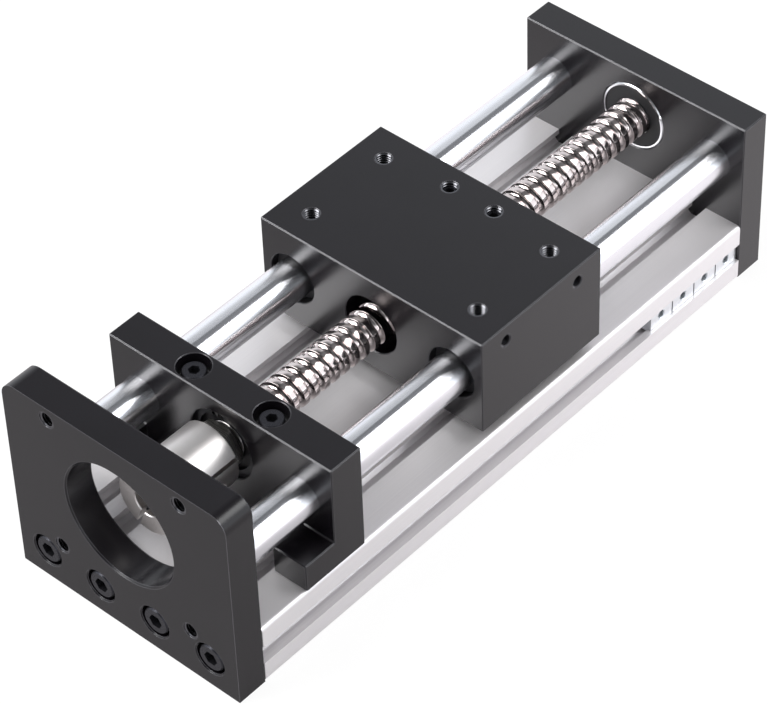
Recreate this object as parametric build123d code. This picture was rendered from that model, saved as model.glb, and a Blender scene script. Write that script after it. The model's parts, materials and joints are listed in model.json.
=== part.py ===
from build123d import *
import math
import os

# Ball screw slide table: a grooved aluminium base between two end plates, with two guide
# shafts, a ball screw, and a carriage that the screw moves along them.
# Millimetres. X runs from the motor end to the far end, Z is up, and the base stands on Z = 0.

# Layout
base_length = 202.0
base_width = 80.0
base_height = 20.0
axis_height = 40.0
shaft_spacing = 58.0
edge_chamfer = 0.3

# Fits, all on the radius
press_fit = 0.02
sliding_fit = 0.03
thread_fit = 0.03
screw_hole_fit = 0.25
head_fit = 0.75
face_gap = 0.1

# Base profile: two kinds of groove above and below, and one along each side
base_edge_radius = 1.2
inner_groove_offset = 14.0
inner_groove_mouth = 7.0
inner_groove_room = 10.4
inner_groove_lip = 2.0
inner_groove_depth = 6.0
outer_groove_offset = 25.0
outer_groove_mouth = 5.0
outer_groove_room = 8.0
outer_groove_lip = 1.8
outer_groove_depth = 5.0
side_groove_mouth = 6.2
side_groove_room = 10.2
side_groove_lip = 2.2
side_groove_depth = 5.8
groove_bevel = 1.2
hollow_width = 13.0
hollow_height = 13.0
hollow_radius = 2.0
core_bore = 4.2
core_thread_depth = 18.0

# Motor plate, with a NEMA 23 face
motor_plate_thickness = 10.0
motor_plate_above_axis = 28.0
motor_plate_corner = 5.0
pilot_bore = 38.6
pilot_chamfer = 0.5
motor_hole_spacing = 47.14
motor_hole_bore = 5.0

# Rear plate
rear_plate_thickness = 10.0
rear_plate_above_axis = 16.0
rear_through_bore = 15.0

# Socket head screws that hold both plates to the base
inner_plate_screw_offset = 10.0
outer_plate_screw_from_side = 10.0
plate_screw_size = 5.0
plate_screw_length = 18.0
plate_screw_head = 8.5
plate_screw_head_height = 5.0
plate_screw_key = 4.0
plate_screw_sunk = 0.3
counterbore_chamfer = 0.4
tapped_hole_chamfer = 0.15

# Guide shafts
shaft_diameter = 12.0
shaft_socket_depth = 7.0
shaft_end_chamfer = 0.8

# Bearing block with two feet that reach toward the motor plate
block_distance = 28.6
block_thickness = 11.5
block_above_axis = 16.0
foot_length = 11.3
foot_height = 9.4
foot_gap = 57.0
block_screw_from_face = 5.7
block_screw_size = 4.0
block_screw_grip = 5.5
block_screw_head = 7.0
block_screw_head_height = 4.0
block_screw_key = 3.0
block_screw_sunk = 1.5
block_head_fit = 1.4
slot_nut_length = 10.0
slot_nut_side_gap = 0.3

# Deep groove bearings, one in the block and one in the rear plate
bearing_bore = 8.0
bearing_outside = 22.0
bearing_width = 7.0
inner_ring_outside = 12.0
outer_ring_inside = 20.4
bearing_chamfer = 0.3
seal_thickness = 0.8
seal_depth = 0.3
seal_fit = 0.15
block_lip = 2.0
block_lip_bore = 18.0
circlip_thickness = 1.0
circlip_groove_depth = 0.6
circlip_ring_width = 1.9
circlip_gap_angle = 24.0
circlip_ear_radius = 1.6
circlip_ear_angle = 22.0
circlip_ear_hole = 0.6

# Ball screw
screw_diameter = 12.0
journal_chamfer = 0.4
rear_journal_overrun = 1.5
lock_nut_flats = 14.0
lock_nut_length = 3.7
lock_nut_collar = 11.6
lock_nut_collar_length = 1.4

# Jaw coupling between the motor shaft and the screw
coupling_diameter = 20.0
motor_hub_length = 7.75
screw_hub_length = 13.75
coupling_start = 0.2
jaw_height = 3.5
jaw_count = 3
jaw_inner_radius = 6.0
jaw_gap_angle = 8.0
spider_leg_radius = 1.9
spider_leg_centre = 7.0
spider_core_radius = 5.7
spider_hole_radius = 4.9
spider_web = 2.6
spider_end_gap = 0.15
jaw_fit = 0.05
motor_shaft_bore = 8.0
motor_bore_chamfer = 0.3
hub_edge_chamfer = 0.35
clamp_slit = 1.2
motor_slit_angle = -68.0
screw_slit_angle = 159.0
clamp_screw_size = 2.5
clamp_screw_head = 4.5
clamp_screw_head_height = 2.5
clamp_screw_key = 2.0
clamp_screw_offset = 6.7
clamp_screw_seat = 1.6
clamp_screw_reach = 6.0
clamp_head_fit = 0.2

# Carriage
carriage_length = 50.0
carriage_width = 80.0
carriage_above_axis = 16.7
carriage_lift = 4.3
carriage_distance = 47.9
screw_opening = 18.6
top_hole_spacing_x = 30.0
top_hole_spacing_y = 60.0
top_hole_from_front = 10.0
top_hole_bore = 5.0
top_hole_depth = 8.0
side_hole_spacing = 30.0
side_hole_below_top = 5.4
side_hole_bore = 4.0
side_hole_depth = 7.0
bush_outside = 16.0
bush_length = 20.0
bush_inset = 3.0
bush_mouth_chamfer = 0.25

# Ball nut
nut_outside = 24.0
nut_length = 35.0
nut_seat = 14.0
nut_screw_gap = 0.25
wiper_outside = 16.0
wiper_thickness = 2.5
wiper_gap = 0.15
return_insert_diameter = 5.5
return_insert_count = 3
return_insert_first = 10.0
return_insert_pitch = 7.5
nut_lock_from_front = 42.7
nut_lock_offset = 8.0
nut_lock_size = 5.0
nut_lock_key = 2.5
nut_lock_length = 6.0

# Square nuts in the side groove, for a limit switch
side_nut_count = 4
side_nut_length = 9.5
side_nut_pitch = 9.95
side_nut_from_plate = 0.15
side_nut_below_face = 1.0
side_nut_hole = 3.0
side_nut_fit = 0.1
side_nut_body_height = 4.0

# Places along X, worked out from the sizes above
overall_length = motor_plate_thickness + base_length + rear_plate_thickness
front_face = -overall_length / 2
base_front = front_face + motor_plate_thickness
base_rear = base_front + base_length
rear_face = base_rear + rear_plate_thickness
block_front = base_front + block_distance
block_rear = block_front + block_thickness
fixed_bearing_front = block_rear - block_lip - bearing_width
coupling_front = base_front + coupling_start
spider_front = coupling_front + motor_hub_length
spider_rear = spider_front + jaw_height
coupling_rear = spider_rear + screw_hub_length
carriage_front = block_rear + carriage_distance
carriage_rear = carriage_front + carriage_length
nut_front = carriage_front + nut_seat

# Heights and half widths
half_width = base_width / 2
carriage_bottom = base_height + carriage_lift
carriage_top = axis_height + carriage_above_axis
block_top = axis_height + block_above_axis
core_height = base_height / 2
shaft_offset = shaft_spacing / 2
shaft_radius = shaft_diameter / 2
screw_radius = screw_diameter / 2

outer_plate_screw_offset = half_width - outer_plate_screw_from_side
plate_screw_offsets = (
    -outer_plate_screw_offset,
    -inner_plate_screw_offset,
    inner_plate_screw_offset,
    outer_plate_screw_offset,
)

START = (Align.CENTER, Align.CENTER, Align.MIN)


def along_x(x, y=0.0, z=axis_height, turn=1):
    """Frame whose Z axis runs along X, forward for turn = 1 and backward for turn = -1."""
    return Plane(origin=(x, y, z), x_dir=(0, turn, 0), z_dir=(turn, 0, 0))


def downward(x, y, z):
    """Frame whose Z axis points down."""
    return Plane(origin=(x, y, z), x_dir=(1, 0, 0), z_dir=(0, 0, -1))


def from_near_side(x, z):
    """Frame on the near side face of the carriage, whose Z axis points into it."""
    return Plane(origin=(x, -carriage_width / 2, z), x_dir=(1, 0, 0), z_dir=(0, 1, 0))


def rod(frame, radius, length):
    return frame * Cylinder(radius, length, align=START)


def tube(frame, outer, inner, length):
    return frame * (Cylinder(outer, length, align=START) - Cylinder(inner, length, align=START))


def funnel(frame, start_radius, end_radius, length):
    return frame * Cone(start_radius, end_radius, length, align=START)


def drilled(frame, radius, depth, chamfer_size):
    """A hole to cut, from the frame's origin, with a chamfered mouth."""
    return rod(frame, radius, depth) + funnel(frame, radius + chamfer_size, radius, chamfer_size)


def block_between(x0, x1, y0, y1, z0, z1):
    size = Box(x1 - x0, y1 - y0, z1 - z0)
    return Pos((x0 + x1) / 2, (y0 + y1) / 2, (z0 + z1) / 2) * size


def end_rims(body):
    """The round edges at the two ends of a shaft along X."""
    rounds = body.edges().filter_by(GeomType.CIRCLE).group_by(Axis.X)
    return rounds[0] + rounds[-1]


def outer_rims(ring):
    """The two largest round edges of a ring."""
    rounds = ring.edges().filter_by(GeomType.CIRCLE)
    return rounds.group_by(SortBy.RADIUS)[-1]


def hexagon(across_flats):
    return RegularPolygon(across_flats / 2, 6, major_radius=False)


def socket_screw(seat, size, length, head, head_height, key):
    """Socket head screw whose head stands on the seat frame, with its shank along +Z."""
    body = Cylinder(size / 2, length, align=START)
    cap = Pos(0, 0, -head_height) * Cylinder(head / 2, head_height, align=START)
    crown = cap.faces().sort_by(Axis.Z)[0].edges()
    cap = chamfer(crown, 0.08 * head_height)
    recess = Pos(0, 0, -head_height) * extrude(hexagon(key), 0.55 * head_height)
    return seat * (body + cap - recess)


def t_groove(mouth, room, lip, depth):
    """Outline of a T-shaped groove that opens at y = 0 toward +y."""
    half = [
        (mouth / 2, 1.0),
        (mouth / 2, -lip),
        (room / 2, -lip),
        (room / 2, -depth + groove_bevel),
        (room / 2 - groove_bevel, -depth),
    ]
    mirrored = [(-x, y) for x, y in reversed(half)]
    return Polygon(*half, *mirrored, align=None)


def plate_screw_seats(x, turn):
    """Frames under the heads of the four screws in an end plate."""
    return [along_x(x, y, core_height, turn) for y in plate_screw_offsets]


def base_profile():
    """Grooved aluminium profile, with core bores tapped at both ends for the plate screws."""
    outline = Pos(0, base_height / 2) * RectangleRounded(base_width, base_height, base_edge_radius)
    grooves = {
        inner_groove_offset: t_groove(
            inner_groove_mouth, inner_groove_room, inner_groove_lip, inner_groove_depth
        ),
        outer_groove_offset: t_groove(
            outer_groove_mouth, outer_groove_room, outer_groove_lip, outer_groove_depth
        ),
    }
    for offset, groove in grooves.items():
        for y in (-offset, offset):
            outline -= Pos(y, base_height) * groove
            outline -= Pos(y, 0) * Rot(0, 0, 180) * groove
    side = t_groove(side_groove_mouth, side_groove_room, side_groove_lip, side_groove_depth)
    outline -= Pos(-half_width, core_height) * Rot(0, 0, 90) * side
    outline -= Pos(half_width, core_height) * Rot(0, 0, -90) * side
    middle = RectangleRounded(hollow_width, hollow_height, hollow_radius)
    outline -= Pos(0, core_height) * middle
    for y in plate_screw_offsets:
        outline -= Pos(y, core_height) * Circle(core_bore / 2)
    body = extrude(along_x(base_front, 0, 0) * outline, base_length)
    thread_radius = plate_screw_size / 2 + thread_fit
    for x, turn in ((base_front, 1), (base_rear, -1)):
        for seat in plate_screw_seats(x, turn):
            body -= rod(seat, thread_radius, core_thread_depth)
    return body


def plate_screw_cuts(face, turn, thickness):
    """Counterbores and clearance holes, cut from the outer face of an end plate."""
    head_radius = plate_screw_head / 2 + head_fit
    depth = plate_screw_head_height + plate_screw_sunk
    cuts = []
    for seat in plate_screw_seats(face, turn):
        cuts.append(drilled(seat, head_radius, depth, counterbore_chamfer))
        cuts.append(rod(seat, plate_screw_size / 2 + screw_hole_fit, thickness + 1))
    return cuts


def plate_screws(face, turn):
    depth = turn * (plate_screw_head_height + plate_screw_sunk)
    return [
        socket_screw(
            seat,
            plate_screw_size,
            plate_screw_length,
            plate_screw_head,
            plate_screw_head_height,
            plate_screw_key,
        )
        for seat in plate_screw_seats(face + depth, turn)
    ]


def shaft_sockets(face, turn):
    """Blind sockets for both guide shafts, cut from the inner face of an end plate."""
    sides = (-shaft_offset, shaft_offset)
    return [rod(along_x(face, y, turn=turn), shaft_radius + press_fit, shaft_socket_depth) for y in sides]


def motor_hole_places():
    half = motor_hole_spacing / 2
    return [(y, axis_height + z) for y in (-half, half) for z in (-half, half)]


def motor_plate():
    """End plate with the motor's pilot bore and its four tapped holes."""
    height = axis_height + motor_plate_above_axis
    outline = Pos(0, height / 2) * Rectangle(base_width, height)
    top_corners = outline.vertices().group_by(Axis.Y)[-1]
    outline = fillet(top_corners, motor_plate_corner)
    body = extrude(along_x(front_face, 0, 0) * outline, motor_plate_thickness)
    for face in (body.faces().sort_by(Axis.X)[0], body.faces().sort_by(Axis.X)[-1]):
        body = chamfer(face.edges(), edge_chamfer)
    body -= drilled(along_x(front_face), pilot_bore / 2, motor_plate_thickness, pilot_chamfer)
    body -= funnel(along_x(base_front, turn=-1), pilot_bore / 2 + pilot_chamfer, pilot_bore / 2, pilot_chamfer)
    for y, z in motor_hole_places():
        place = along_x(front_face, y, z)
        body -= drilled(place, motor_hole_bore / 2, motor_plate_thickness, tapped_hole_chamfer)
    for cut in plate_screw_cuts(front_face, 1, motor_plate_thickness) + shaft_sockets(base_front, -1):
        body -= cut
    return body


def rear_plate():
    """End plate that carries the free end of the screw."""
    height = axis_height + rear_plate_above_axis
    body = block_between(base_rear, rear_face, -half_width, half_width, 0, height)
    body = chamfer(body.edges(), edge_chamfer)
    pocket_radius = bearing_outside / 2 + press_fit
    body -= drilled(along_x(base_rear), pocket_radius, bearing_width, edge_chamfer)
    body -= rod(along_x(base_rear), rear_through_bore / 2, rear_plate_thickness)
    for cut in plate_screw_cuts(rear_face, -1, rear_plate_thickness) + shaft_sockets(base_rear, 1):
        body -= cut
    return body


def guide_shaft(y):
    start = base_front - shaft_socket_depth + face_gap
    end = base_rear + shaft_socket_depth - face_gap
    body = rod(along_x(start, y), shaft_radius, end - start)
    return chamfer(end_rims(body), shaft_end_chamfer)


def block_screw_seats(z):
    x = block_front + block_screw_from_face
    return [downward(x, y, z) for y in (-inner_groove_offset, inner_groove_offset)]


def block_screw_length():
    """From under the head down through the block and the lip into the slot nut."""
    under_head = block_top - block_screw_sunk - block_screw_head_height
    return under_head - base_height + block_screw_grip


def bearing_block():
    """Block for the fixed bearing, clamped on the base, with feet below the shafts."""
    foot_front = block_front - foot_length
    profile = Polygon(
        (foot_front, base_height),
        (block_rear, base_height),
        (block_rear, block_top),
        (block_front, block_top),
        (block_front, base_height + foot_height),
        (foot_front, base_height + foot_height),
        align=None,
    )
    side_plane = Plane(origin=(0, half_width, 0), x_dir=(1, 0, 0), z_dir=(0, -1, 0))
    body = extrude(side_plane * profile, base_width)
    body = chamfer(body.edges(), edge_chamfer)
    body -= block_between(
        foot_front - 1, block_front, -foot_gap / 2, foot_gap / 2, base_height - 1, base_height + foot_height + 1
    )
    seat = along_x(fixed_bearing_front)
    pocket_radius = bearing_outside / 2 + press_fit
    pocket_depth = fixed_bearing_front - block_front
    body -= drilled(along_x(block_front), pocket_radius, pocket_depth + bearing_width, edge_chamfer)
    body -= drilled(along_x(block_rear, turn=-1), block_lip_bore / 2, block_lip + 1, edge_chamfer)
    groove_start = fixed_bearing_front - circlip_thickness - face_gap
    groove = along_x(groove_start)
    body -= rod(groove, pocket_radius + circlip_groove_depth, circlip_thickness + face_gap)
    for y in (-shaft_offset, shaft_offset):
        body -= rod(along_x(block_front - 1, y), shaft_radius + press_fit, block_thickness + 2)
    head_radius = block_screw_head / 2 + block_head_fit
    head_depth = block_screw_sunk + block_screw_head_height
    for mouth in block_screw_seats(block_top):
        body -= drilled(mouth, head_radius, head_depth, tapped_hole_chamfer)
        body -= rod(mouth, block_screw_size / 2 + screw_hole_fit, block_top - base_height + 1)
    return body


def block_screws():
    under_head = block_top - block_screw_sunk - block_screw_head_height
    return [
        socket_screw(
            seat,
            block_screw_size,
            block_screw_length(),
            block_screw_head,
            block_screw_head_height,
            block_screw_key,
        )
        for seat in block_screw_seats(under_head)
    ]


def slot_nut(y):
    """Nut under the lips of an inner groove of the base, tapped for a block screw."""
    half_room = inner_groove_room / 2 - slot_nut_side_gap
    half_mouth = inner_groove_mouth / 2 - slot_nut_side_gap
    top = base_height - inner_groove_lip
    floor = base_height - inner_groove_depth + slot_nut_side_gap
    slope = groove_bevel + slot_nut_side_gap
    profile = Polygon(
        (half_mouth, base_height - face_gap),
        (half_mouth, top),
        (half_room, top),
        (half_room, floor + slope),
        (half_room - slope, floor),
        (-half_room + slope, floor),
        (-half_room, floor + slope),
        (-half_room, top),
        (-half_mouth, top),
        (-half_mouth, base_height - face_gap),
        align=None,
    )
    x = block_front + block_screw_from_face
    body = extrude(along_x(x - slot_nut_length / 2, y, 0) * profile, slot_nut_length)
    return body - rod(downward(x, y, base_height), block_screw_size / 2 + thread_fit, base_height)


def bearing_outer_ring(front):
    ring = tube(along_x(front), bearing_outside / 2, outer_ring_inside / 2, bearing_width)
    return chamfer(outer_rims(ring), bearing_chamfer)


def bearing_inner_ring(front):
    return tube(along_x(front), inner_ring_outside / 2, bearing_bore / 2, bearing_width)


def bearing_seals(front):
    """Two thin discs, a little below the faces of the rings."""
    outer = outer_ring_inside / 2 - press_fit
    inner = inner_ring_outside / 2 + seal_fit
    rear = front + bearing_width - seal_depth - seal_thickness
    return [tube(along_x(x), outer, inner, seal_thickness) for x in (front + seal_depth, rear)]


def bearing_circlip():
    """Open ring in a groove of the block, with two eared ends at the top."""
    outer = bearing_outside / 2 + press_fit + circlip_groove_depth - face_gap
    inner = bearing_outside / 2 - circlip_ring_width
    ring = Circle(outer) - Circle(inner)
    ear_centre = inner
    for side in (-1, 1):
        place = Rot(0, 0, 90 + side * circlip_ear_angle) * Pos(ear_centre, 0)
        ring += place * Circle(circlip_ear_radius)
    gap = circlip_gap_angle / 2
    wedge_reach = 2 * outer
    rise = wedge_reach * math.tan(math.radians(gap))
    ring -= Polygon((0, 0), (rise, wedge_reach), (-rise, wedge_reach), align=None)
    for side in (-1, 1):
        place = Rot(0, 0, 90 + side * circlip_ear_angle) * Pos(ear_centre, 0)
        ring -= place * Circle(circlip_ear_hole)
    start = fixed_bearing_front - circlip_thickness - face_gap / 2
    return extrude(along_x(start) * ring, circlip_thickness)


def ball_screw():
    """Screw with a journal at each end; its ball track is a helix of the given lead."""
    journal = bearing_bore / 2
    thread_start = fixed_bearing_front + bearing_width
    journal_start = spider_rear + face_gap
    journal_end = base_rear + bearing_width + rear_journal_overrun
    body = rod(along_x(thread_start), screw_radius, base_rear - thread_start)
    body += rod(along_x(journal_start), journal, journal_end - journal_start)
    return chamfer(end_rims(body), journal_chamfer)


def lock_nut():
    """Hexagon nut on the journal, whose collar presses on the inner ring."""
    end = fixed_bearing_front - lock_nut_collar_length
    start = end - lock_nut_length
    body = extrude(along_x(start) * hexagon(lock_nut_flats), lock_nut_length)
    corner = lock_nut_flats / math.sqrt(3)
    turned = Cylinder(corner, lock_nut_length, align=START)
    turned = chamfer(turned.edges().filter_by(GeomType.CIRCLE), corner - lock_nut_flats / 2)
    body = body & (along_x(start) * turned)
    body += rod(along_x(end), lock_nut_collar / 2, lock_nut_collar_length)
    bore_length = lock_nut_length + lock_nut_collar_length + 2
    return body - rod(along_x(start - 1), bearing_bore / 2 + thread_fit, bore_length)


def spider_legs(growth):
    """Outlines of the spider's rounded legs, grown all round by a fit."""
    arm = Pos(spider_leg_centre / 2, 0) * Rectangle(spider_leg_centre, spider_web + 2 * growth)
    leg = arm + Pos(spider_leg_centre, 0) * Circle(spider_leg_radius + growth)
    pitch = 180.0 / jaw_count
    return [Rot(0, 0, pitch * (i + 0.5)) * leg for i in range(2 * jaw_count)]


def jaw_outline(first):
    """Every second sector between the spider's legs, hollowed where the legs bear on it."""
    half = 90.0 / jaw_count - jaw_gap_angle
    reach = 2 * coupling_diameter
    rise = reach * math.tan(math.radians(half))
    sector = Polygon((0, 0), (reach, -rise), (reach, rise), align=None)
    ring = Circle(coupling_diameter / 2) - Circle(jaw_inner_radius)
    outline = None
    for i in range(jaw_count):
        turn = Rot(0, 0, first + 360.0 / jaw_count * i)
        jaw = ring & (turn * sector)
        outline = jaw if outline is None else outline + jaw
    for leg in spider_legs(jaw_fit):
        outline -= leg
    return outline


def coupling_hub(front, length, jaw_start, first_jaw, slit_angle, seat):
    """Clamping hub: a slit barrel with jaws on one end and a screw across the slit."""
    body = rod(along_x(front), coupling_diameter / 2, length)
    body = chamfer(body.edges().filter_by(GeomType.CIRCLE), hub_edge_chamfer)
    jaw_length = jaw_height - face_gap
    body += extrude(along_x(jaw_start) * jaw_outline(first_jaw), jaw_length)
    body -= rod(along_x(front - 1), motor_shaft_bore / 2, length + 2)
    reach = coupling_diameter
    slit = Box(length + 2, reach, clamp_slit, align=(Align.MIN, Align.MIN, Align.CENTER))
    body -= Pos(front - 1, 0, axis_height) * Rot(slit_angle, 0, 0) * slit
    head_radius = clamp_screw_head / 2 + clamp_head_fit
    body -= seat * (Pos(0, 0, -coupling_diameter) * Cylinder(head_radius, coupling_diameter, align=START))
    body -= rod(seat, clamp_screw_size / 2 + thread_fit, clamp_screw_seat + clamp_screw_reach)
    return body


def clamp_seat(middle_x, slit_angle, turn):
    """Frame under the head of a clamp screw, pointing across the slit, by turn to either side."""
    angle = math.radians(slit_angle)
    out = Vector(0, math.cos(angle), math.sin(angle))
    across = Vector(0, -math.sin(angle), math.cos(angle)) * turn
    middle = Vector(middle_x, 0, axis_height)
    origin = middle + out * clamp_screw_offset - across * clamp_screw_seat
    return Plane(origin=origin, x_dir=(1, 0, 0), z_dir=across)


def motor_clamp_seat():
    return clamp_seat(coupling_front + motor_hub_length / 2, motor_slit_angle, 1)


def screw_clamp_seat():
    return clamp_seat(spider_rear + screw_hub_length / 2, screw_slit_angle, -1)


def coupling_hub_motor_side():
    seat = motor_clamp_seat()
    hub = coupling_hub(coupling_front, motor_hub_length, spider_front, 0.0, motor_slit_angle, seat)
    radius = motor_shaft_bore / 2
    return hub - funnel(along_x(coupling_front), radius + motor_bore_chamfer, radius, motor_bore_chamfer)


def coupling_hub_screw_side():
    jaw_start = spider_front + face_gap
    first_jaw = 180.0 / jaw_count
    seat = screw_clamp_seat()
    return coupling_hub(spider_rear, screw_hub_length, jaw_start, first_jaw, screw_slit_angle, seat)


def clamp_screws():
    return [
        socket_screw(
            seat,
            clamp_screw_size,
            clamp_screw_seat + clamp_screw_reach - face_gap,
            clamp_screw_head,
            clamp_screw_head_height,
            clamp_screw_key,
        )
        for seat in (motor_clamp_seat(), screw_clamp_seat())
    ]


def coupling_spider():
    """Elastic star: a ring with a rounded leg between each pair of jaws."""
    outline = Circle(spider_core_radius)
    for leg in spider_legs(0.0):
        outline += leg
    outline -= Circle(spider_hole_radius)
    start = spider_front + spider_end_gap
    return extrude(along_x(start) * outline, jaw_height - 2 * spider_end_gap)


def nut_lock_places(z):
    x = carriage_front + nut_lock_from_front
    return [downward(x, y, z) for y in (-nut_lock_offset, nut_lock_offset)]


def nut_surface_height():
    """Height of the ball nut's surface under a lock screw."""
    radius = nut_outside / 2
    return axis_height + math.sqrt(radius**2 - nut_lock_offset**2)


def carriage_block():
    """Carriage, bored for the bushes and the ball nut, and tapped for the load and a side flag."""
    half = carriage_width / 2
    body = block_between(carriage_front, carriage_rear, -half, half, carriage_bottom, carriage_top)
    body = chamfer(body.edges(), edge_chamfer)
    bore = bush_outside / 2 + press_fit
    for y in (-shaft_offset, shaft_offset):
        body -= drilled(along_x(carriage_front, y), bore, carriage_length, bush_mouth_chamfer)
        body -= funnel(along_x(carriage_rear, y, turn=-1), bore + bush_mouth_chamfer, bore, bush_mouth_chamfer)
    body -= drilled(along_x(carriage_front), screw_opening / 2, carriage_length, edge_chamfer)
    nut_bore = nut_outside / 2 + press_fit
    body -= drilled(along_x(carriage_rear, turn=-1), nut_bore, carriage_rear - nut_front, edge_chamfer)
    for i in (0, 1):
        x = carriage_front + top_hole_from_front + i * top_hole_spacing_x
        for y in (-top_hole_spacing_y / 2, top_hole_spacing_y / 2):
            mouth = downward(x, y, carriage_top)
            body -= drilled(mouth, top_hole_bore / 2, top_hole_depth, tapped_hole_chamfer)
        side_x = carriage_front + top_hole_from_front + i * side_hole_spacing
        mouth = from_near_side(side_x, carriage_top - side_hole_below_top)
        body -= drilled(mouth, side_hole_bore / 2, side_hole_depth, tapped_hole_chamfer)
    for mouth in nut_lock_places(carriage_top):
        radius = nut_lock_size / 2 + thread_fit
        body -= drilled(mouth, radius, carriage_above_axis, tapped_hole_chamfer)
    return body


def ball_nut():
    """Round nut, bored clear of the screw, with a pocket for a wiper at each end."""
    body = tube(along_x(nut_front), nut_outside / 2, screw_radius + nut_screw_gap, nut_length)
    body = chamfer(outer_rims(body), edge_chamfer)
    pocket = wiper_outside / 2 + press_fit
    body -= rod(along_x(nut_front), pocket, wiper_thickness)
    body -= rod(along_x(nut_front + nut_length, turn=-1), pocket, wiper_thickness)
    for seat in return_insert_seats():
        body -= rod(seat, return_insert_diameter / 2 + press_fit, nut_outside)
    return body


def return_insert_seats():
    """Frames on the nut's axis, one for each ball circuit, pointing outward."""
    seats = []
    for i in range(return_insert_count):
        angle = 2 * math.pi * i / return_insert_count
        out = Vector(0, math.cos(angle), math.sin(angle))
        x = nut_front + return_insert_first + i * return_insert_pitch
        seats.append(Plane(origin=(x, 0, axis_height), x_dir=(1, 0, 0), z_dir=out))
    return seats


def return_inserts():
    """Plugs that turn the balls back, curved like the bore inside and the nut outside."""
    shell = tube(along_x(nut_front), nut_outside / 2, screw_radius + nut_screw_gap, nut_length)
    plugs = []
    for seat in return_insert_seats():
        plugs.append(shell & rod(seat, return_insert_diameter / 2, nut_outside))
    return plugs


def nut_wipers():
    outer = wiper_outside / 2
    inner = screw_radius + wiper_gap
    rear = nut_front + nut_length - wiper_thickness
    return [tube(along_x(x), outer, inner, wiper_thickness) for x in (nut_front, rear)]


def nut_lock_screws():
    """Set screws with a cone point on the ball nut."""
    radius = nut_lock_size / 2
    tip = nut_surface_height() + face_gap
    screws = []
    for frame in nut_lock_places(tip + nut_lock_length):
        shank = rod(frame, radius, nut_lock_length - radius)
        point_start = downward(frame.origin.X, frame.origin.Y, tip + radius)
        point = funnel(point_start, radius, 0.3, radius - 0.3)
        recess = frame * extrude(hexagon(nut_lock_key), nut_lock_length / 3)
        screws.append(shank + point - recess)
    return screws


def shaft_bush(y, front):
    bore = shaft_radius + sliding_fit
    return tube(along_x(front, y), bush_outside / 2, bore, bush_length)


def side_slot_nuts():
    """Square nuts in the near side groove, pushed up against the rear plate."""
    half_mouth = side_groove_mouth / 2 - side_nut_fit
    half_room = side_groove_room / 2 - groove_bevel
    face = -half_width + side_nut_below_face
    lip = -half_width + side_groove_lip
    back = lip + side_groove_depth - side_groove_lip - side_nut_fit
    back = min(back, lip + side_nut_body_height)
    middle = base_height / 2
    profile = Polygon(
        (face, middle - half_mouth),
        (lip, middle - half_mouth),
        (lip, middle - half_room),
        (back, middle - half_room),
        (back, middle + half_room),
        (lip, middle + half_room),
        (lip, middle + half_mouth),
        (face, middle + half_mouth),
        align=None,
    )
    nuts = []
    for i in range(side_nut_count):
        end = base_rear - side_nut_from_plate - i * side_nut_pitch
        nut = extrude(along_x(end - side_nut_length, 0, 0) * profile, side_nut_length)
        hole = Plane(origin=(end - side_nut_length / 2, face, middle), x_dir=(1, 0, 0), z_dir=(0, 1, 0))
        nuts.append(nut - drilled(hole, side_nut_hole / 2, side_groove_depth, tapped_hole_chamfer))
    return nuts


def group(solids):
    return Compound(children=[solid for solid in solids])


bush_front = carriage_front + bush_inset
bush_rear = carriage_rear - bush_inset - bush_length

nodes = {
    "base_profile": base_profile(),
    "motor_plate": motor_plate(),
    "motor_plate_screws": group(plate_screws(front_face, 1)),
    "bearing_block": bearing_block(),
    "bearing_block_screws": group(block_screws()),
    "block_slot_nuts": group([slot_nut(y) for y in (-inner_groove_offset, inner_groove_offset)]),
    "rear_plate": rear_plate(),
    "rear_plate_screws": group(plate_screws(rear_face, -1)),
    "guide_shaft_left": guide_shaft(shaft_offset),
    "guide_shaft_right": guide_shaft(-shaft_offset),
    "fixed_bearing_outer_ring": bearing_outer_ring(fixed_bearing_front),
    "fixed_bearing_inner_ring": bearing_inner_ring(fixed_bearing_front),
    "fixed_bearing_seals": group(bearing_seals(fixed_bearing_front)),
    "bearing_circlip": bearing_circlip(),
    "rear_bearing_outer_ring": bearing_outer_ring(base_rear),
    "rear_bearing_inner_ring": bearing_inner_ring(base_rear),
    "rear_bearing_seals": group(bearing_seals(base_rear)),
    "ball_screw": ball_screw(),
    "lock_nut": lock_nut(),
    "coupling_hub_motor_side": coupling_hub_motor_side(),
    "coupling_spider": coupling_spider(),
    "coupling_hub_screw_side": coupling_hub_screw_side(),
    "coupling_clamp_screws": group(clamp_screws()),
    "carriage_block": carriage_block(),
    "ball_nut": ball_nut(),
    "nut_wipers": group(nut_wipers()),
    "nut_return_inserts": group(return_inserts()),
    "nut_lock_screws": group(nut_lock_screws()),
    "bush_left_front": shaft_bush(shaft_offset, bush_front),
    "bush_left_rear": shaft_bush(shaft_offset, bush_rear),
    "bush_right_front": shaft_bush(-shaft_offset, bush_front),
    "bush_right_rear": shaft_bush(-shaft_offset, bush_rear),
    "side_slot_nuts": group(side_slot_nuts()),
}

os.makedirs("parts", exist_ok=True)
for name, shape in nodes.items():
    export_step(shape, f"parts/{name}.step")
    print(name, round(shape.volume, 1))
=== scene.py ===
# %% [markdown]
# # A ball screw slide table
#
# The object is a small linear axis: a grooved aluminium base with a black plate at each end,
# two chromed guide shafts and a ball screw between them, and a black carriage that the screw
# drives along the shafts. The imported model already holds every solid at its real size. This
# lesson adds what only shows on the finished product: the ball track, the threads inside the
# tapped holes, and the surface that each part got from its maker.
#
# All lengths are metres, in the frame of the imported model: X runs from the motor plate to the
# far end, Z is up, and the base stands on Z = 0.

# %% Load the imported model
import json
import math

import bmesh
import bpy
import numpy as np
from mathutils import Matrix, Vector


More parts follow.
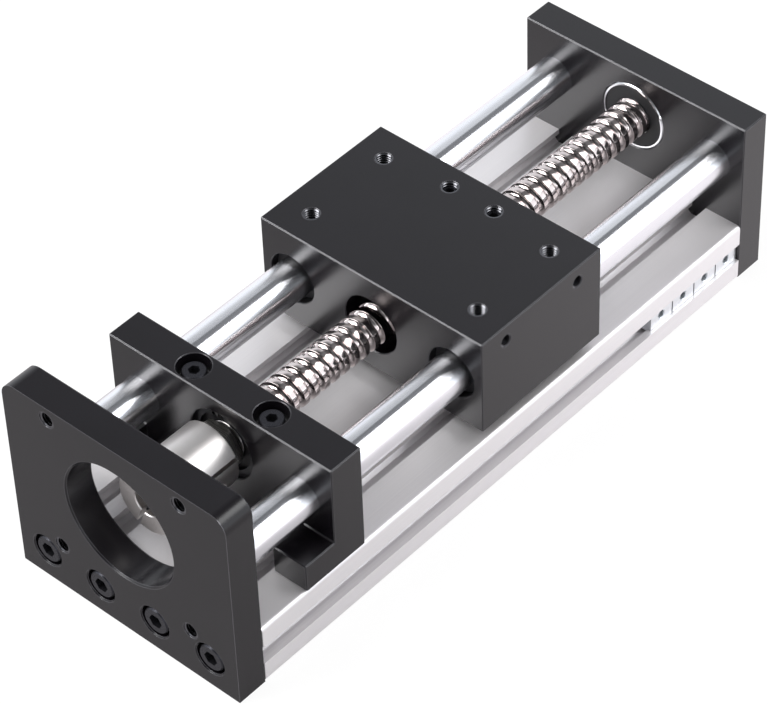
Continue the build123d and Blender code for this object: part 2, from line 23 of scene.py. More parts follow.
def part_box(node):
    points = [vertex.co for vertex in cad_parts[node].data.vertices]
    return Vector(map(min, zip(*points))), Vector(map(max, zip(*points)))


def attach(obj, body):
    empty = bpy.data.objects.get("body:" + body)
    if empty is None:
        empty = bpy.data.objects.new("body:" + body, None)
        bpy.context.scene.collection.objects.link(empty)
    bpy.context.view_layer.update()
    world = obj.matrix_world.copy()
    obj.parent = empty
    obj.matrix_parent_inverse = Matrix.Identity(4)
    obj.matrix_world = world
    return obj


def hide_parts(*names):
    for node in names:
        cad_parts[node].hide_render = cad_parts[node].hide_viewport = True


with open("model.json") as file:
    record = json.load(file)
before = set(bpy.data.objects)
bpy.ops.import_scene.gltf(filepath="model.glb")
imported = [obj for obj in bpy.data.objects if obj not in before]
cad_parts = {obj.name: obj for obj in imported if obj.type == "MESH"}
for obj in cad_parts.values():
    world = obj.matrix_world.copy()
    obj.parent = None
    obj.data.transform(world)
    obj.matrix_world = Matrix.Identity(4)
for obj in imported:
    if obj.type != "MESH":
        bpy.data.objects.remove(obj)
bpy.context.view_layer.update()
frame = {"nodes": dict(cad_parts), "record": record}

MM = 0.001

# %% [markdown]
# ## Surfaces worked out as grids
#
# Every new piece here is round: a screw, or a thread cut in a hole. Such a surface could be
# made with the Screw modifier, but its seams and ends are hard to close. Here it is a grid of
# points instead. A row of the grid runs once round the axis, and a stack of rows makes the
# surface, so that an edge of the thread always falls on a row and stays sharp.

# %% Rows that run round an axis
PHASE_NUDGE = 1e-9


def plain_rows(places, radii, columns):
    """Rows that stay at one place: row i is the circle x = places[i], r = radii[i]."""
    shape = (len(places), columns + 1)
    x = np.broadcast_to(np.array(places, float)[:, None], shape)
    r = np.broadcast_to(np.array(radii, float)[:, None], shape)
    return np.stack([x, r], axis=-1)


def helix_rows(start, end, lead, steps, radius_at, columns):
    """Rows that climb one lead in each turn.

    Row (turn, step) starts at x = start - lead + turn * lead + steps[step], and a point at the
    angle a stands at that x plus lead * a / (2 pi). Points past an end are held at the end, and
    one more row lies wholly at each end, so that the seam closes there too. The phase is x less
    the climb, and the radius depends on the phase alone. A nudge keeps a phase that rounding
    put a hair below a full lead from ending up on the wrong side of it.
    """
    angle = np.linspace(0.0, 2 * np.pi, columns + 1)
    climb = lead * angle / (2 * np.pi)
    turns = math.ceil((end - start) / lead) + 1
    inner = start - lead + np.add.outer(lead * np.arange(turns), steps).ravel()
    first = np.concatenate([[start - lead], inner, [start - lead + turns * lead]])
    x = np.clip(first[:, None] + climb[None, :], start, end)
    phase = np.mod(x - climb[None, :] - start + PHASE_NUDGE, lead)
    return np.stack([x, radius_at(phase)], axis=-1)


# %% From rows to a closed mesh
ALONG_X = (1, 0, 0)
ALONG_Y = (0, 1, 0)
UP = (0, 0, 1)
DOWN = (0, 0, -1)
MERGE_DISTANCE = 0.0004 * MM


def place_rows(rows, origin, along, across):
    """Points of the rows: origin + x * along + r * (cos a * across + sin a * (along x across))."""
    along = np.array(along, float)
    across = np.array(across, float)
    third = np.cross(along, across)
    angle = np.linspace(0.0, 2 * np.pi, rows.shape[1])
    ring = np.cos(angle)[:, None] * across + np.sin(angle)[:, None] * third
    return np.array(origin, float) + rows[..., :1] * along + rows[..., 1:] * ring[None, :, :]


def grid_faces(row_count, column_count, first):
    """Four-sided faces of a grid, wound so that growing x and growing angle face outward."""
    index = first + np.arange(row_count * column_count).reshape(row_count, column_count)
    corners = [index[:-1, :-1], index[:-1, 1:], index[1:, 1:], index[1:, :-1]]
    return np.stack(corners, axis=-1).reshape(-1, 4)


def mesh_of_grids(name, grids, sharp_degrees):
    """One object from several grids of points, with seams and poles merged and closed."""
    points = np.concatenate([grid.reshape(-1, 3) for grid in grids])
    faces = []
    first = 0
    for grid in grids:
        faces.append(grid_faces(grid.shape[0], grid.shape[1], first))
        first += grid.shape[0] * grid.shape[1]
    mesh = bpy.data.meshes.new(name)
    mesh.from_pydata(points.tolist(), [], np.concatenate(faces).tolist())
    work = bmesh.new()
    work.from_mesh(mesh)
    bmesh.ops.remove_doubles(work, verts=work.verts, dist=MERGE_DISTANCE)
    bmesh.ops.dissolve_degenerate(work, edges=work.edges, dist=MERGE_DISTANCE)
    bmesh.ops.recalc_face_normals(work, faces=work.faces)
    open_edges = sum(1 for edge in work.edges if not edge.is_manifold)
    work.to_mesh(mesh)
    work.free()
    mesh.polygons.foreach_set("use_smooth", np.ones(len(mesh.polygons), bool))
    mesh.set_sharp_from_angle(angle=math.radians(sharp_degrees))
    piece = bpy.data.objects.new(name, mesh)
    bpy.context.scene.collection.objects.link(piece)
    print(name, len(mesh.polygons), "faces, open edges:", open_edges)
    return piece


# %% [markdown]
# ## The ball screw
#
# The balls run in a helical track. Its outline is a pointed arch: two arcs, a little larger
# than the ball, meet at the bottom, so that each ball rests on two lines and has no play. The
# arch is what makes the screw glitter, because neither arc ever faces straight out. A bump map
# could hint at the track, but it shows as the outline of the screw, so it is real geometry. The
# pitch of 4 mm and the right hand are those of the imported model's joints.

# %% Outline of the ball track
LEAD = 4.0 * MM
ARC_RADIUS = 1.60 * MM
ARC_HEIGHT = 6.50 * MM
ARC_OFFSET = 0.42 * MM
EDGE_RADIUS = 0.14 * MM

screw_low, screw_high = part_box("ball_screw")
ring_low, ring_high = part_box("fixed_bearing_inner_ring")
rear_ring_low, rear_ring_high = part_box("rear_bearing_inner_ring")
AXIS_HEIGHT = (screw_low.z + screw_high.z) / 2
SCREW_RADIUS = (screw_high.z - screw_low.z) / 2

edge_reach = math.sqrt(
    (ARC_RADIUS + EDGE_RADIUS) ** 2 - (ARC_HEIGHT - SCREW_RADIUS + EDGE_RADIUS) ** 2
)
arc_reach = edge_reach * ARC_RADIUS / (ARC_RADIUS + EDGE_RADIUS)
edge_centre = edge_reach - ARC_OFFSET
groove_half = arc_reach - ARC_OFFSET


def track_radius(phase):
    """Radius of the screw at a phase of the lead, with the track's middle at half a lead.

    Out to groove_half from the middle it is an arc whose centre lies ARC_OFFSET on the other
    side of the middle, then out to edge_centre the small circle that rounds the edge and
    touches arc and land, and beyond that the land.
    """
    off = np.abs(phase - LEAD / 2)
    groove = ARC_HEIGHT - np.sqrt(np.clip(ARC_RADIUS**2 - (off + ARC_OFFSET) ** 2, 0, None))
    rounding = np.sqrt(np.clip(EDGE_RADIUS**2 - (edge_centre - off) ** 2, 0, None))
    edge = SCREW_RADIUS - EDGE_RADIUS + rounding
    return np.where(off <= groove_half, groove, np.where(off <= edge_centre, edge, SCREW_RADIUS))


# %% Steps across one lead, closer together where the outline bends
ARC_STEPS = 7
EDGE_STEPS = 4

foot_angle = math.asin(ARC_OFFSET / ARC_RADIUS)
top_angle = math.asin(arc_reach / ARC_RADIUS)
arc_places = ARC_RADIUS * np.sin(np.linspace(foot_angle, top_angle, ARC_STEPS)) - ARC_OFFSET
edge_turn = np.linspace(math.pi / 2 - top_angle, math.pi / 2, EDGE_STEPS + 1)[1:]
edge_places = edge_centre - EDGE_RADIUS * np.cos(edge_turn)
half_places = np.concatenate([arc_places, edge_places])
track_steps = LEAD / 2 + np.concatenate([-half_places[:0:-1], half_places])
print("track:", round(2 * groove_half / MM, 2), "mm wide, depth",
      round((SCREW_RADIUS - track_radius(LEAD / 2)) / MM, 2), "mm")

# %% The whole screw, from journal to journal
SCREW_COLUMNS = 72
JOURNAL_RADIUS = 4.0 * MM
JOURNAL_CHAMFER = 0.4 * MM

track_start, track_end = ring_high.x, rear_ring_low.x
front_end = plain_rows(
    [screw_low.x, screw_low.x, screw_low.x + JOURNAL_CHAMFER, track_start],
    [0.0, JOURNAL_RADIUS - JOURNAL_CHAMFER, JOURNAL_RADIUS, JOURNAL_RADIUS],
    SCREW_COLUMNS,
)
rear_end = plain_rows(
    [track_end, screw_high.x - JOURNAL_CHAMFER, screw_high.x, screw_high.x],
    [JOURNAL_RADIUS, JOURNAL_RADIUS, JOURNAL_RADIUS - JOURNAL_CHAMFER, 0.0],
    SCREW_COLUMNS,
)
track = helix_rows(track_start, track_end, LEAD, track_steps, track_radius, SCREW_COLUMNS)
screw_rows = np.concatenate([front_end, track, rear_end])
screw_points = place_rows(screw_rows, (0, 0, AXIS_HEIGHT), ALONG_X, ALONG_Y)
screw = mesh_of_grids("ball_screw_track", [screw_points], sharp_degrees=26)
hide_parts("ball_screw")
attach(screw, "screw")

# %% [markdown]
# ## Threads in the tapped holes
#
# Each tapped hole is packed as a plain hole at the outside diameter of its thread, so there is
# room for the ridges that the tap leaves. A ridge is a helix with 60 degree flanks. It is made
# as a thin threaded sleeve that lines the hole: the rows of the sleeve's outside, then the
# rows of the thread, and the first row again, which closes the loop.

# %% A threaded sleeve
# The thread's outline, as shares of the pitch.
ROOT_FLAT = 0.125
RIDGE_FLAT = 0.25
FLANK = (1 - ROOT_FLAT - RIDGE_FLAT) / 2
ROOT_SHORT = 0.02
RIDGE_HEIGHT = 0.54

THREAD_COLUMNS = 40
SLEEVE_FIT = 0.004 * MM
BELOW_MOUTH = 0.25 * MM

# Largest radius and pitch of the metric threads on this table.
M5 = (2.5 * MM, 0.8 * MM)
M4 = (2.0 * MM, 0.7 * MM)
M3 = (1.5 * MM, 0.5 * MM)


def thread_steps(pitch):
    """Start and end of the root's flat, then of the ridge's flat, with a flank between them."""
    ridge_start = ROOT_FLAT + FLANK
    return pitch * np.array([0.0, ROOT_FLAT, ridge_start, ridge_start + RIDGE_FLAT])


def thread_radius(phase, major, pitch):
    """Straight lines between the root, a hair inside the major radius, and the ridge."""
    steps = np.append(thread_steps(pitch), pitch)
    root = major - ROOT_SHORT * pitch
    ridge = major - RIDGE_HEIGHT * pitch
    return np.interp(phase, steps, [root, root, ridge, ridge, root])


def threaded_sleeve(major, pitch, length):
    """Rows of a sleeve that starts at x = 0: out along its outside, and back along its thread."""
    outside = major - SLEEVE_FIT
    shell = plain_rows([0.0, length], [outside, outside], THREAD_COLUMNS)
    thread = helix_rows(
        0.0, length, pitch, thread_steps(pitch),
        lambda phase: thread_radius(phase, major, pitch), THREAD_COLUMNS,
    )
    return np.concatenate([shell, thread[::-1], shell[:1]])


def line_holes(name, body, places, along, across, thread, length):
    """One piece that lines several holes of a body, each from a little below its mouth."""
    major, pitch = thread
    rows = threaded_sleeve(major, pitch, length)
    grids = []
    for place in places:
        start = np.array(place, float) + BELOW_MOUTH * np.array(along, float)
        grids.append(place_rows(rows, start, along, across))
    piece = mesh_of_grids(name, grids, sharp_degrees=30)
    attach(piece, body)
    return piece


# %% Threads of the carriage: four M5 on top, two M4 in the near side
carriage_low, carriage_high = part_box("carriage_block")
HOLE_INSET = 10.0 * MM
HOLE_SPACING_X = 30.0 * MM
TOP_SPACING_Y = 60.0 * MM
TOP_THREAD = 7.0 * MM
SIDE_BELOW_TOP = 5.4 * MM
SIDE_THREAD = 6.0 * MM

hole_columns = [carriage_low.x + HOLE_INSET, carriage_low.x + HOLE_INSET + HOLE_SPACING_X]
top_places = [(x, y, carriage_high.z) for x in hole_columns
              for y in (-TOP_SPACING_Y / 2, TOP_SPACING_Y / 2)]
top_threads = line_holes(
    "carriage_top_threads", "carriage", top_places, DOWN, ALONG_X, M5, TOP_THREAD
)
side_places = [(x, carriage_low.y, carriage_high.z - SIDE_BELOW_TOP) for x in hole_columns]
side_threads = line_holes(
    "carriage_side_threads", "carriage", side_places, ALONG_Y, UP, M4, SIDE_THREAD
)

# %% Threads above the two set screws that lock the ball nut
LOCK_FROM_FRONT = 42.7 * MM
LOCK_OFFSET = 8.0 * MM
LOCK_CLEARANCE = 0.3 * MM
lock_low, lock_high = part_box("nut_lock_screws")
lock_room = carriage_high.z - lock_high.z - LOCK_CLEARANCE
lock_places = [(carriage_low.x + LOCK_FROM_FRONT, y, carriage_high.z)
               for y in (-LOCK_OFFSET, LOCK_OFFSET)]
lock_threads = line_holes(
    "nut_lock_threads", "carriage", lock_places, DOWN, ALONG_X, M5, lock_room
)

# %% Threads of the motor plate: four M5 holes on the motor's bolt square
MOTOR_SQUARE = 47.14 * MM
plate_low, plate_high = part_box("motor_plate")
motor_places = [(plate_low.x, y, AXIS_HEIGHT + z)
                for y in (-MOTOR_SQUARE / 2, MOTOR_SQUARE / 2)
                for z in (-MOTOR_SQUARE / 2, MOTOR_SQUARE / 2)]
motor_threads = line_holes(
    "motor_plate_threads", "frame", motor_places, ALONG_X, ALONG_Y, M5,
    plate_high.x - plate_low.x - 2 * BELOW_MOUTH,
)

# %% Threads of the four square nuts in the side groove
NUT_LENGTH = 9.5 * MM
NUT_SPACING = 9.95 * MM
NUT_COUNT = 4
NUT_THREAD_ENDS = 0.4 * MM
nuts_low, nuts_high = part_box("side_slot_nuts")
nut_places = [(nuts_high.x - NUT_LENGTH / 2 - i * NUT_SPACING, nuts_low.y,
               (nuts_low.z + nuts_high.z) / 2) for i in range(NUT_COUNT)]
nut_threads = line_holes(
    "side_nut_threads", "frame", nut_places, ALONG_Y, UP, M3,
    nuts_high.y - nuts_low.y - NUT_THREAD_ENDS,
)

# %% [markdown]
# ## Colours and nodes
#
# A colour is written as the hex value that a picture would show, and a shader wants light, so
# one function turns the one into the other. One more function adds any node: it sets the
# node's own choices, writes plain values on its sockets and links the sockets that it is given.

# %% Two helpers for every material
def linear(code):
    """Linear red, green, blue and 1 from an sRGB hex value such as "c8c8ca"."""
    parts = np.array([int(code[i:i + 2], 16) for i in (0, 2, 4)]) / 255.0
    light = np.where(parts <= 0.04045, parts / 12.92, ((parts + 0.055) / 1.055) ** 2.4)
    return (*light.tolist(), 1.0)


def add_node(tree, kind, inputs=None, **choices):
    """A new node of that kind, with its choices set and its inputs written or linked."""
    node = tree.nodes.new(kind)
    for name, value in choices.items():
        setattr(node, name, value)
    for socket, value in (inputs or {}).items():
        if isinstance(value, bpy.types.NodeSocket):
            tree.links.new(value, node.inputs[socket])
        else:
            node.inputs[socket].default_value = value
    return node


# %% A new material, with the place on the object as its only coordinate
def new_material(name):
    """An empty material: its node tree and the output of its object coordinates."""
    material = bpy.data.materials.new(name)
    material.use_nodes = True
    tree = material.node_tree
    tree.nodes.clear()
    place = add_node(tree, "ShaderNodeTexCoord").outputs["Object"]
    return material, tree, place


def finish_material(tree, shader):
    """The last node, which puts the shader on the surface."""
    add_node(tree, "ShaderNodeOutputMaterial", {"Surface": shader.outputs["BSDF"]})


# %% [markdown]
# ## Black anodised aluminium
#
# The plates, the block and the carriage are milled from aluminium bar, chamfered, blasted fine
# and anodised black. The oxide is a clear, dyed layer, so the surface looks black where it
# reflects nothing and satin grey where it reflects the white room. Paint would hide the milled
# grain; here a fine noise of a tenth of a millimetre keeps it. Where the surface turns sharply
# the colour gets lighter and more metallic: partly bare metal where the oxide is thin, and
# partly a painted highlight that stands in for the light the small chamfers catch. The Bevel
# node gives a softened normal, and it differs from the true one only there.

# %% A mask that finds the edges
EDGE_REACH = 0.25 * MM
EDGE_STARTS = 0.985
EDGE_FULL = 0.90


def edge_mask(tree):
    """1 along edges and 0 elsewhere.

    The rounded normal dotted with the true one is 1 away from edges. The mask is 0 down to
    EDGE_STARTS and grows to 1 at EDGE_FULL.
    """
    geometry = add_node(tree, "ShaderNodeNewGeometry")
    soft = add_node(tree, "ShaderNodeBevel", {"Radius": EDGE_REACH}, samples=6)
    turn = add_node(
        tree, "ShaderNodeVectorMath",
        {0: soft.outputs["Normal"], 1: geometry.outputs["Normal"]}, operation="DOT_PRODUCT",
    )
    return add_node(
        tree, "ShaderNodeMapRange",
        {"Value": turn.outputs["Value"], "From Min": EDGE_STARTS, "From Max": EDGE_FULL},
    ).outputs["Result"]


# %% Black anodised aluminium
GRAIN = 0.12 * MM
CLOUD = 14.0 * MM
EDGE_METAL_AND_SHEEN = 0.8


def black_anodised():
    """Near black with a faint cloud, a fine grain, and bare metal and a painted highlight on
    edges.
    """
    material, tree, place = new_material("black_anodised_aluminium_blasted")
    grain = add_node(
        tree, "ShaderNodeTexNoise", {"Vector": place, "Scale": 1 / GRAIN, "Detail": 2.0}
    )
    cloud = add_node(
        tree, "ShaderNodeTexNoise", {"Vector": place, "Scale": 1 / CLOUD, "Detail": 3.0}
    )
    body = add_node(
        tree, "ShaderNodeMix",
        {"Factor": cloud.outputs["Fac"], 6: linear("0c0a0d"), 7: linear("110f13")},
        data_type="RGBA",
    )
    # Lighter, more metallic edges: partly bare metal, partly a painted highlight of the chamfers.
    edge = edge_mask(tree)
    colour = add_node(
        tree, "ShaderNodeMix", {"Factor": edge, 6: body.outputs[2], 7: linear("77767b")},
        data_type="RGBA",
    )
    bare_metal_and_sheen = add_node(tree, "ShaderNodeMath", {0: edge, 1: EDGE_METAL_AND_SHEEN}, operation="MULTIPLY")
    rough = add_node(
        tree, "ShaderNodeMapRange",
        {"Value": grain.outputs["Fac"], "To Min": 0.20, "To Max": 0.28},
    )
    bump = add_node(
        tree, "ShaderNodeBump",
        {"Height": grain.outputs["Fac"], "Strength": 0.12, "Distance": 0.02 * MM},
    )
    shader = add_node(
        tree, "ShaderNodeBsdfPrincipled",
        {"Base Color": colour.outputs[2], "Metallic": bare_metal_and_sheen.outputs["Value"], "IOR": 1.45,
         "Roughness": rough.outputs["Result"], "Normal": bump.outputs["Normal"]},
    )
    finish_material(tree, shader)
    return material


# %% [markdown]
# ## Clear anodised extrusion
#
# The base is pressed hot through a die, which draws fine lines along its whole length, and is
# then etched and anodised clear. The lines are what the eye reads as an extrusion: they spread
# a reflection across them and keep it crisp along them. They are a noise that is stretched
# along X a few hundred times. Real die lines are hundredths of a millimetre apart; here they
# are drawn 0.2 mm apart, so that they show.

# %% Clear anodised extrusion
DIE_LINE = 0.2 * MM
DIE_LENGTH = 90.0 * MM


def clear_anodised():
    """Pale metal whose colour, blur and relief all follow the lines along X."""
    material, tree, place = new_material("clear_anodised_aluminium_extruded")
    stretch = add_node(
        tree, "ShaderNodeMapping",
        {"Vector": place, "Scale": (1 / DIE_LENGTH, 1 / DIE_LINE, 1 / DIE_LINE)},
    )
    lines = add_node(
        tree, "ShaderNodeTexNoise",
        {"Vector": stretch.outputs["Vector"], "Scale": 1.0, "Detail": 3.0},
    )
    colour = add_node(
        tree, "ShaderNodeMix",
        {"Factor": lines.outputs["Fac"], 6: linear("d9d6d9"), 7: linear("e8e6e7")},
        data_type="RGBA",
    )
    rough = add_node(
        tree, "ShaderNodeMapRange",
        {"Value": lines.outputs["Fac"], "To Min": 0.35, "To Max": 0.46},
    )
    bump = add_node(
        tree, "ShaderNodeBump",
        {"Height": lines.outputs["Fac"], "Strength": 0.10, "Distance": 0.02 * MM},
    )
    shader = add_node(
        tree, "ShaderNodeBsdfPrincipled",
        {"Base Color": colour.outputs[2], "Metallic": 0.55,
         "Roughness": rough.outputs["Result"], "Normal": bump.outputs["Normal"]},
    )
    finish_material(tree, shader)
    return material


# %% [markdown]
# ## Chromed shafts and bright steels
#
# The guide shafts are hard chromed and ground between centres, so the last marks on them run
# round the shaft. Such marks spread a reflection along the shaft and keep it sharp across it,
# which gives the long clean streaks of a ground bar, so the blur is stretched: the shader's
# Anisotropic value says how much, and the tangent runs round X. The other steels differ in how
# much of those marks is left: a rolled screw is smooth and a little warm, and a turned nut is
# duller. One function makes them all from a colour, a blur and the width of the rings, and each
# is named for its own finish.

# %% Metals that were turned or ground about a line along X
def ringed_metal(name, light, dark, blur, spread, ring, depth, stretch=0.0):
    """Bright metal with rings of the given width, made by a noise that is flat round the axis."""
    material, tree, place = new_material(name)
    along = add_node(tree, "ShaderNodeSeparateXYZ", {"Vector": place}).outputs["X"]
    rings = add_node(
        tree, "ShaderNodeTexNoise", {"W": along, "Scale": 1 / ring, "Detail": 2.0},
        noise_dimensions="1D",
    )
    patch = add_node(
        tree, "ShaderNodeTexNoise", {"Vector": place, "Scale": 1 / (40 * ring), "Detail": 3.0}
    )
    colour = add_node(
        tree, "ShaderNodeMix",
        {"Factor": patch.outputs["Fac"], 6: linear(dark), 7: linear(light)}, data_type="RGBA",
    )
    rough = add_node(
        tree, "ShaderNodeMapRange",
        {"Value": rings.outputs["Fac"], "To Min": blur - spread, "To Max": blur + spread},
    )
    bump = add_node(
        tree, "ShaderNodeBump",
        {"Height": rings.outputs["Fac"], "Strength": 0.1, "Distance": depth},
    )
    round_axis = add_node(tree, "ShaderNodeTangent", direction_type="RADIAL", axis="X")
    shader = add_node(
        tree, "ShaderNodeBsdfPrincipled",
        {"Base Color": colour.outputs[2], "Metallic": 1.0,
         "Roughness": rough.outputs["Result"], "Normal": bump.outputs["Normal"],
         "Anisotropic": stretch, "Anisotropic Rotation": 0.25,
         "Tangent": round_axis.outputs["Tangent"]},
    )
    finish_material(tree, shader)
    return material


# %% [markdown]
# ## Plated and blackened fasteners, rubber and plastics
#
# Zinc plate and black oxide follow the steel below them, so both have a small random grain and
# no direction. Rubber seals, the coupling's elastic star and the bushes are moulded: they have
# one colour, a soft gloss and hardly any relief.

# %% Surfaces with a random grain
def grained(name, light, dark, metallic, blur, spread, grain, depth):
    """A surface whose colour, blur and relief all follow one noise of the given grain."""
    material, tree, place = new_material(name)
    noise = add_node(
        tree, "ShaderNodeTexNoise", {"Vector": place, "Scale": 1 / grain, "Detail": 4.0}
    )
    colour = add_node(
        tree, "ShaderNodeMix",
        {"Factor": noise.outputs["Fac"], 6: linear(dark), 7: linear(light)}, data_type="RGBA",
    )
    rough = add_node(
        tree, "ShaderNodeMapRange",
        {"Value": noise.outputs["Fac"], "To Min": blur - spread, "To Max": blur + spread},
    )
    bump = add_node(
        tree, "ShaderNodeBump",
        {"Height": noise.outputs["Fac"], "Strength": 0.2, "Distance": depth},
    )
    shader = add_node(
        tree, "ShaderNodeBsdfPrincipled",
        {"Base Color": colour.outputs[2], "Metallic": metallic,
         "Roughness": rough.outputs["Result"], "Normal": bump.outputs["Normal"]},
    )
    finish_material(tree, shader)
    return material


# %% Metals that show how they were made, named as the record names its slots
finishes = {
    "black_anodised_aluminium": black_anodised(),
    "clear_anodised_aluminium": clear_anodised(),
    # Ground chrome: long clean streaks along the shaft, a little bluer than steel.
    "chromed_shaft": ringed_metal(
        "hard_chrome_ground", "eeeef1", "e4e4e9", blur=0.22, spread=0.02,
        ring=0.15 * MM, depth=0.001 * MM, stretch=0.9,
    ),
    # Rolled and polished: nearly a mirror, so that each turn shows a bright and a dark line.
    "ground_screw_steel": ringed_metal(
        "screw_steel_rolled_and_polished", "d6cdcb", "bfb4b2", blur=0.10, spread=0.02,
        ring=0.10 * MM, depth=0.004 * MM, stretch=0.3,
    ),
    # Ground bearing rings: a bright narrow ring round the pocket.
    "bearing_steel": ringed_metal(
        "bearing_steel_ground", "d8d8da", "cbcbce", blur=0.14, spread=0.04,
        ring=0.08 * MM, depth=0.002 * MM,
    ),
    # Turned steel, left bare: duller and warmer than the ground parts.
    "bright_steel": ringed_metal(
        "steel_fine_turned", "bdbab6", "a8a5a1", blur=0.28, spread=0.06,
        ring=0.16 * MM, depth=0.01 * MM,
    ),
    # Turned aluminium: pale, with soft rings and a wide soft shine.
    "turned_aluminium": ringed_metal(
        "aluminium_fine_turned", "e9e5e3", "dcd7d5", blur=0.38, spread=0.05,
        ring=0.16 * MM, depth=0.012 * MM,
    ),
}

# %% Plated and blackened steels, rubber and plastics
finishes |= {
    # Bright zinc plate: nearly white, a little cloudy, and the same in every direction.
    "zinc_plated_steel": grained(
        "steel_bright_zinc_plated", "eef1f3", "d9dee2", metallic=1.0, blur=0.30, spread=0.06,
        grain=0.8 * MM, depth=0.01 * MM,
    ),
    # Black oxide, oiled: dark with a satin shine, so that the rim of a socket head glints.
    "black_steel": grained(
        "steel_black_oxide", "44444a", "2f2f33", metallic=0.85, blur=0.27, spread=0.05,
        grain=0.25 * MM, depth=0.01 * MM,
    ),
    # Phosphate on spring steel: darker and duller than black oxide.
    "spring_steel": grained(
        "spring_steel_phosphated", "2c2c2f", "202023", metallic=0.8, blur=0.42, spread=0.06,
        grain=0.2 * MM, depth=0.01 * MM,
    ),
    # Moulded rubber: black and nearly matt.
    "black_rubber": grained(
        "nitrile_rubber_moulded", "1e1e20", "151517", metallic=0.0, blur=0.55, spread=0.06,
        grain=0.3 * MM, depth=0.01 * MM,
    ),
    # Moulded polyurethane: black with the soft gloss of its mould.
    "polyurethane": grained(
        "polyurethane_moulded", "29292c", "202023", metallic=0.0, blur=0.40, spread=0.05,
        grain=0.5 * MM, depth=0.01 * MM,
    ),
    # Moulded polyacetal, white for the ball returns and black for the bushes: an even satin.
    "white_polymer": grained(
        "polyacetal_white_moulded", "e4e3de", "dad9d4", metallic=0.0, blur=0.45, spread=0.05,
        grain=0.5 * MM, depth=0.01 * MM,
    ),
    "bush_polymer": grained(
        "polyacetal_black_moulded", "2c2c2f", "232326", metallic=0.0, blur=0.45, spread=0.05,
        grain=0.5 * MM, depth=0.01 * MM,
    ),
}

# %% Bare aluminium in the holes that are tapped after anodising
# Cut metal inside a hole: grey rings of light in the black plate.
tapped_aluminium = grained(
    "aluminium_tapped_bare", "7c7c80", "5e5e62", metallic=1.0, blur=0.20, spread=0.04,
    grain=0.3 * MM, depth=0.01 * MM,
)

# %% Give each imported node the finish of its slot
def dress(piece, finish):
    """Give a piece this finish and no other."""
    piece.data.materials.clear()
    piece.data.materials.append(finish)


for part in frame["record"]["subparts"]:
    dress(frame["nodes"][part["node"]], finishes[part["material_slot"]])
tapped_pieces = [top_threads, side_threads, lock_threads, motor_threads]
for threads in tapped_pieces:
    dress(threads, tapped_aluminium)
dress(nut_threads, finishes["zinc_plated_steel"])
dress(screw, finishes["ground_screw_steel"])
print(len(finishes) + 1, "finishes on", len(frame["nodes"]), "packed nodes and",
      len(tapped_pieces) + 2, "new pieces")

# %% [markdown]
# ## The studio
#
# Black and chromed parts show the room more than themselves, so the room is designed first. It
# is white all round, so that every mirror finds something bright at its horizon. A wide soft
# light hangs over the near side and draws the broad white streak along the shafts. To mirrors
# the ceiling, the upper part of the far wall and a strip beside the light are grey, which draws
# the dark line next to the streak and keeps the black tops black. The wall on the near side is
# the brightest, and makes the streak a wide one. The end of the room in front of the motor plate
# is unlit, so that whatever faces it, such as the front flanks of the screw's turns, looks dark
# and gives the bright lines beside it their edge.
#
# The world's shader works with the direction that a ray takes, a vector of length 1. Its parts Y
# and Z say how far the ray looks to the far side and up. A Map Range node turns such a number
# into a level, where white card is 1, and a smooth step between two numbers stands for the soft
# edge of a wall or a ceiling.

# %% Levels of the far wall, the ceiling and the grey strip, to mirrors
# Each EDGE is a pair of numbers, and the smooth step from one level to the other lies between.
WALL_LEVEL = 1.25
WALL_TILT = 0.6
WALL_EDGE = (0.88, 1.06)
CEILING_LEVEL = 0.2
CEILING_EDGE = (0.78, 0.86)
STRIP_LEVEL = 0.2
STRIP_MIDDLE = 0.03
STRIP_EDGE = (0.16, 0.28)


def far_wall(tree, place):
    """WALL_LEVEL low down, and CEILING_LEVEL where Z plus WALL_TILT times Y is past WALL_EDGE."""
    tilted = add_node(
        tree, "ShaderNodeMath", {0: place["Y"], 1: WALL_TILT, 2: place["Z"]},
        operation="MULTIPLY_ADD",
    )
    return add_node(
        tree, "ShaderNodeMapRange",
        {"Value": tilted.outputs["Value"], "From Min": WALL_EDGE[0], "From Max": WALL_EDGE[1],
         "To Min": WALL_LEVEL, "To Max": CEILING_LEVEL},
        interpolation_type="SMOOTHSTEP",
    ).outputs["Result"]


def grey_ceiling(tree, place):
    """1 low down, and CEILING_LEVEL where Z is past CEILING_EDGE."""
    return add_node(
        tree, "ShaderNodeMapRange",
        {"Value": place["Z"], "From Min": CEILING_EDGE[0], "From Max": CEILING_EDGE[1],
         "To Min": 1.0, "To Max": CEILING_LEVEL},
        interpolation_type="SMOOTHSTEP",
    ).outputs["Result"]


def grey_strip(tree, place):
    """STRIP_LEVEL where Y is near STRIP_MIDDLE, and 1 where it is STRIP_EDGE away."""
    aside = add_node(
        tree, "ShaderNodeMath", {0: place["Y"], 1: STRIP_MIDDLE}, operation="SUBTRACT"
    ).outputs["Value"]
    aside = add_node(tree, "ShaderNodeMath", {0: aside}, operation="ABSOLUTE").outputs["Value"]
    return add_node(
        tree, "ShaderNodeMapRange",
        {"Value": aside, "From Min": STRIP_EDGE[0], "From Max": STRIP_EDGE[1],
         "To Min": STRIP_LEVEL, "To Max": 1.0},
        interpolation_type="SMOOTHSTEP",
    ).outputs["Result"]


# %% Levels of the unlit end and of the near wall, to mirrors
UNLIT_LEVEL = 0.12
UNLIT_DIRECTION = (-0.53, -0.48, 0.70)
UNLIT_EDGE = (0.78, 0.93)
NEAR_WALL_GAIN = 1.4
NEAR_WALL_EDGE = (-0.58, -0.74)


